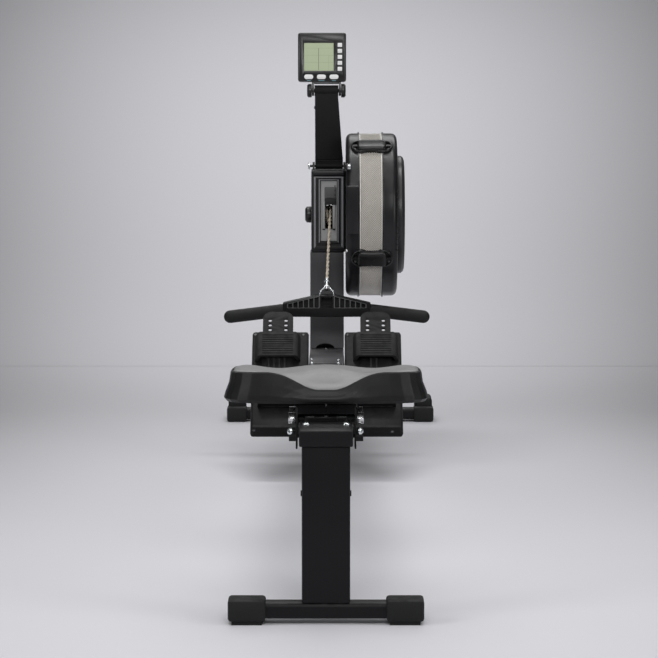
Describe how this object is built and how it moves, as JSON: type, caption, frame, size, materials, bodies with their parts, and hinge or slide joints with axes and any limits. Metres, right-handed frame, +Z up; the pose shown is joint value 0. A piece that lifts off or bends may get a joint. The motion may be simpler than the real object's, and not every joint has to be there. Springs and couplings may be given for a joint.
{
  "type": "air rowing machine",
  "caption": "Air rowing machine with a sloped monorail, rolling seat, corded handle, strapped foot plates, caged fan wheel and a tilting monitor on a folding arm.",
  "frame": {"origin": "floor level under the middle of the machine's overall length and width", "axes": "+Z up, +Y along the rail from the rear foot to the fan, +X to the right seen from the rear foot"},
  "size_m": [0.498, 2.244, 0.9381],
  "materials": {
    "powder_coat": "satin black powder coat",
    "shroud": "satin charcoal",
    "rubber": "matte",
    "case_plastic": "satin",
    "mesh_metal": "bright champagne-silver",
    "chrome": "bright",
    "rail_metal": "dark anodised",
    "seat_pad": "matte grey",
    "seat_shell": "satin black",
    "nylon_cord": "twisted nylon",
    "lcd": "grey-green display behind a clear window",
    "button_white": "white",
    "wheel_plastic": "satin black"
  },
  "bodies": {
    "frame": {"rear_foot_bar": "powder_coat", "rear_foot_cap_left": "rubber", "rear_foot_cap_right": "rubber", "rear_leg": "powder_coat", "rail_end_bracket": "powder_coat", "rail": "rail_metal", "front_frame": "powder_coat", "front_foot_bar": "powder_coat", "front_foot_cap_left": "rubber", "front_foot_cap_right": "rubber", "column_shroud": "shroud", "column_head": "case_plastic", "axle_end_cap": "case_plastic", "fan_case_inner": "case_plastic", "fan_case_outer": "case_plastic", "fan_mesh_band": "mesh_metal", "fan_cover": "case_plastic", "fan_axle": "chrome", "foot_rest_bar": "powder_coat", "foot_plate_left": "case_plastic", "foot_plate_right": "case_plastic", "foot_strap_left": "rubber", "foot_strap_right": "rubber", "pull_cord": "nylon_cord"},
    "seat": {"seat_shell": "seat_shell", "seat_pad": "seat_pad", "carriage_plate_left": "powder_coat", "carriage_plate_right": "powder_coat", "seat_axle_rear": "chrome", "seat_axle_front": "chrome"},
    "upper_roller_rear": {"upper_roller_rear": "wheel_plastic"},
    "upper_roller_front": {"upper_roller_front": "wheel_plastic"},
    "lower_roller_left": {"lower_roller_left": "wheel_plastic"},
    "lower_roller_right": {"lower_roller_right": "wheel_plastic"},
    "handle": {"handle_core": "powder_coat", "grip_left": "rubber", "grip_right": "rubber", "cord_clevis": "chrome"},
    "flywheel": {"fan_wheel": "rail_metal"},
    "drum": {"cord_drum": "rail_metal"},
    "pulley": {"cord_pulley": "rail_metal"},
    "arm": {"monitor_arm": "powder_coat", "tilt_pin": "case_plastic"},
    "monitor": {"monitor_case": "case_plastic", "lcd_window": "lcd"},
    "toe_slider_left": {"toe_slider_left": "case_plastic"},
    "toe_slider_right": {"toe_slider_right": "case_plastic"},
    "transport_wheel_left": {"transport_wheel_left": "wheel_plastic"},
    "transport_wheel_right": {"transport_wheel_right": "wheel_plastic"},
    "damper": {"damper_dial": "case_plastic"},
    "side_button_1": {"side_button_1": "button_white"},
    "side_button_2": {"side_button_2": "button_white"},
    "side_button_3": {"side_button_3": "button_white"},
    "side_button_4": {"side_button_4": "button_white"},
    "side_button_5": {"side_button_5": "button_white"},
    "oval_button_1": {"oval_button_1": "button_white"},
    "oval_button_2": {"oval_button_2": "button_white"},
    "oval_button_3": {"oval_button_3": "button_white"}
  },
  "joints": [
    {"name": "seat_slide", "type": "slide", "parent": "frame", "child": "seat", "axis": [0, 0.9985, -0.0544], "range_m": [0, 0.92]},
    {"name": "upper_roller_rear_spin", "type": "hinge", "parent": "seat", "child": "upper_roller_rear", "pos_m": [0, -0.98343, 0.32598], "axis": [1, 0, 0], "range_deg": [-4300, 100]},
    {"name": "upper_roller_front_spin", "type": "hinge", "parent": "seat", "child": "upper_roller_front", "pos_m": [0, -0.88358, 0.32054], "axis": [1, 0, 0], "range_deg": [-4300, 100]},
    {"name": "lower_roller_left_spin", "type": "hinge", "parent": "seat", "child": "lower_roller_left", "pos_m": [-0.029, -0.98506, 0.29613], "axis": [1, 0, 0], "continuous": true},
    {"name": "lower_roller_right_spin", "type": "hinge", "parent": "seat", "child": "lower_roller_right", "pos_m": [0.029, -0.98506, 0.29613], "axis": [1, 0, 0], "continuous": true},
    {"name": "handle_pull", "type": "slide", "parent": "frame", "child": "handle", "axis": [0, -0.9063, 0.4226], "range_m": [0, 1.05], "stiffness_N_per_m": 10, "springref_m": -1, "deforming": ["pull_cord"]},
    {"name": "flywheel_spin", "type": "hinge", "parent": "frame", "child": "flywheel", "pos_m": [0.0994, 0.781, 0.5217], "axis": [1, 0, 0], "continuous": true},
    {"name": "drum_spin", "type": "hinge", "parent": "frame", "child": "drum", "pos_m": [0.0045, 0.781, 0.5217], "axis": [1, 0, 0], "range_deg": [-100, 3200]},
    {"name": "pulley_spin", "type": "hinge", "parent": "frame", "child": "pulley", "pos_m": [0.0079, 0.7655, 0.5735], "axis": [1, 0, 0], "continuous": true},
    {"name": "arm_pivot", "type": "hinge", "parent": "frame", "child": "arm", "pos_m": [0.0051, 0.781, 0.6335], "axis": [1, 0, 0], "range_deg": [-15, 60]},
    {"name": "monitor_tilt", "type": "hinge", "parent": "arm", "child": "monitor", "pos_m": [-0.0009, 0.781, 0.806], "axis": [1, 0, 0], "range_deg": [-20, 40]},
    {"name": "toe_slider_left_slide", "type": "slide", "parent": "frame", "child": "toe_slider_left", "axis": [0, 0.766, 0.6428], "range_m": [-0.045, 0]},
    {"name": "toe_slider_right_slide", "type": "slide", "parent": "frame", "child": "toe_slider_right", "axis": [0, 0.766, 0.6428], "range_m": [-0.045, 0]},
    {"name": "transport_wheel_left_spin", "type": "hinge", "parent": "frame", "child": "transport_wheel_left", "pos_m": [-0.217, 1.097, 0.029], "axis": [1, 0, 0], "continuous": true},
    {"name": "transport_wheel_right_spin", "type": "hinge", "parent": "frame", "child": "transport_wheel_right", "pos_m": [0.233, 1.097, 0.029], "axis": [1, 0, 0], "continuous": true},
    {"name": "damper_turn", "type": "hinge", "parent": "frame", "child": "damper", "pos_m": [0.166, 0.781, 0.5217], "axis": [1, 0, 0], "range_deg": [0, 270]},
    {"name": "side_button_1_press", "type": "slide", "parent": "monitor", "child": "side_button_1", "axis": [0, 0.9945, -0.1045], "range_m": [0, 0.0015], "stiffness_N_per_m": 200, "springref_m": -0.001},
    {"name": "side_button_2_press", "type": "slide", "parent": "monitor", "child": "side_button_2", "axis": [0, 0.9945, -0.1045], "range_m": [0, 0.0015], "stiffness_N_per_m": 200, "springref_m": -0.001},
    {"name": "side_button_3_press", "type": "slide", "parent": "monitor", "child": "side_button_3", "axis": [0, 0.9945, -0.1045], "range_m": [0, 0.0015], "stiffness_N_per_m": 200, "springref_m": -0.001},
    {"name": "side_button_4_press", "type": "slide", "parent": "monitor", "child": "side_button_4", "axis": [0, 0.9945, -0.1045], "range_m": [0, 0.0015], "stiffness_N_per_m": 200, "springref_m": -0.001},
    {"name": "side_button_5_press", "type": "slide", "parent": "monitor", "child": "side_button_5", "axis": [0, 0.9945, -0.1045], "range_m": [0, 0.0015], "stiffness_N_per_m": 200, "springref_m": -0.001},
    {"name": "oval_button_1_press", "type": "slide", "parent": "monitor", "child": "oval_button_1", "axis": [0, 0.9945, -0.1045], "range_m": [0, 0.0015], "stiffness_N_per_m": 200, "springref_m": -0.001},
    {"name": "oval_button_2_press", "type": "slide", "parent": "monitor", "child": "oval_button_2", "axis": [0, 0.9945, -0.1045], "range_m": [0, 0.0015], "stiffness_N_per_m": 200, "springref_m": -0.001},
    {"name": "oval_button_3_press", "type": "slide", "parent": "monitor", "child": "oval_button_3", "axis": [0, 0.9945, -0.1045], "range_m": [0, 0.0015], "stiffness_N_per_m": 200, "springref_m": -0.001}
  ],
  "couplings": [
    {"joint": "upper_roller_rear_spin", "follows": "seat_slide", "rad_per_m": -80},
    {"joint": "upper_roller_front_spin", "follows": "seat_slide", "rad_per_m": -80},
    {"joint": "drum_spin", "follows": "handle_pull", "rad_per_m": 50.505}
  ]
}
